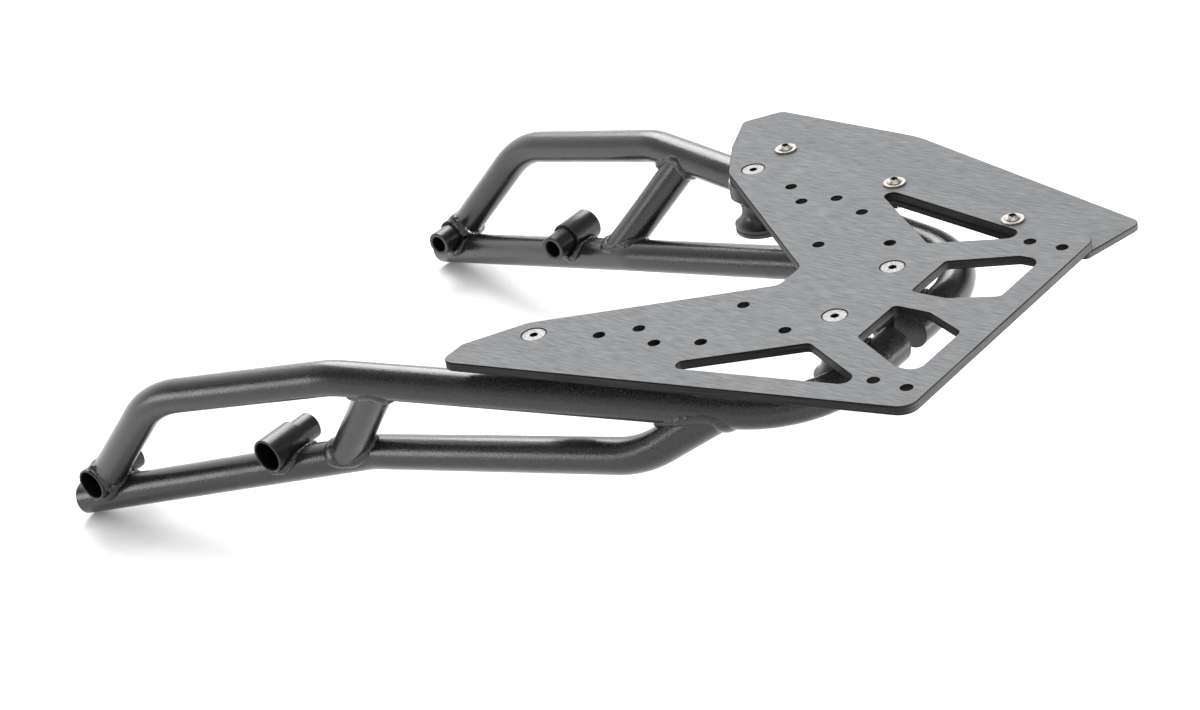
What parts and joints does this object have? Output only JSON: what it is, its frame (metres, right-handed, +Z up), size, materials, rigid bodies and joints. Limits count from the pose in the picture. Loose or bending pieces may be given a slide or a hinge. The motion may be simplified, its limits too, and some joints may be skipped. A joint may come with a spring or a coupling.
{
  "type": "motorcycle top case mounting plate",
  "caption": "Flat luggage plate with side extension on a bent, welded tube frame; bolts to a motorcycle's subframe and carries a top case.",
  "frame": {"origin": "on the plate's top face, midway between the two front countersunk screws", "axes": "+X to the front of the motorcycle, +Y to the rider's left, +Z up, square to the plate"},
  "size_m": [0.7105, 0.4476, 0.1958],
  "materials": {
    "plate": "brushed along the fore-and-aft axis, clear anodised, dark cut walls",
    "frame": "satin black powder coat on steel tube",
    "screw": "bright zinc-plated countersunk screws",
    "stainless": "polished stainless"
  },
  "bodies": {
    "root": {"main_plate": "plate", "extension_plate": "plate", "left_upper_tube": "frame", "left_lower_tube": "frame", "left_strut": "frame", "left_front_boss": "frame", "left_middle_boss": "frame", "left_upper_tube_cap": "frame", "left_lower_tube_cap": "frame", "right_upper_tube": "frame", "right_lower_tube": "frame", "right_strut": "frame", "right_front_boss": "frame", "right_middle_boss": "frame", "right_upper_tube_cap": "frame", "right_lower_tube_cap": "frame", "left_front_post": "frame", "right_front_post": "frame", "left_rear_post": "frame", "right_rear_post": "frame", "countersunk_screws": "screw", "seam_screws": "stainless", "seam_washers": "stainless", "seam_nuts": "stainless"}
  },
  "joints": []
}
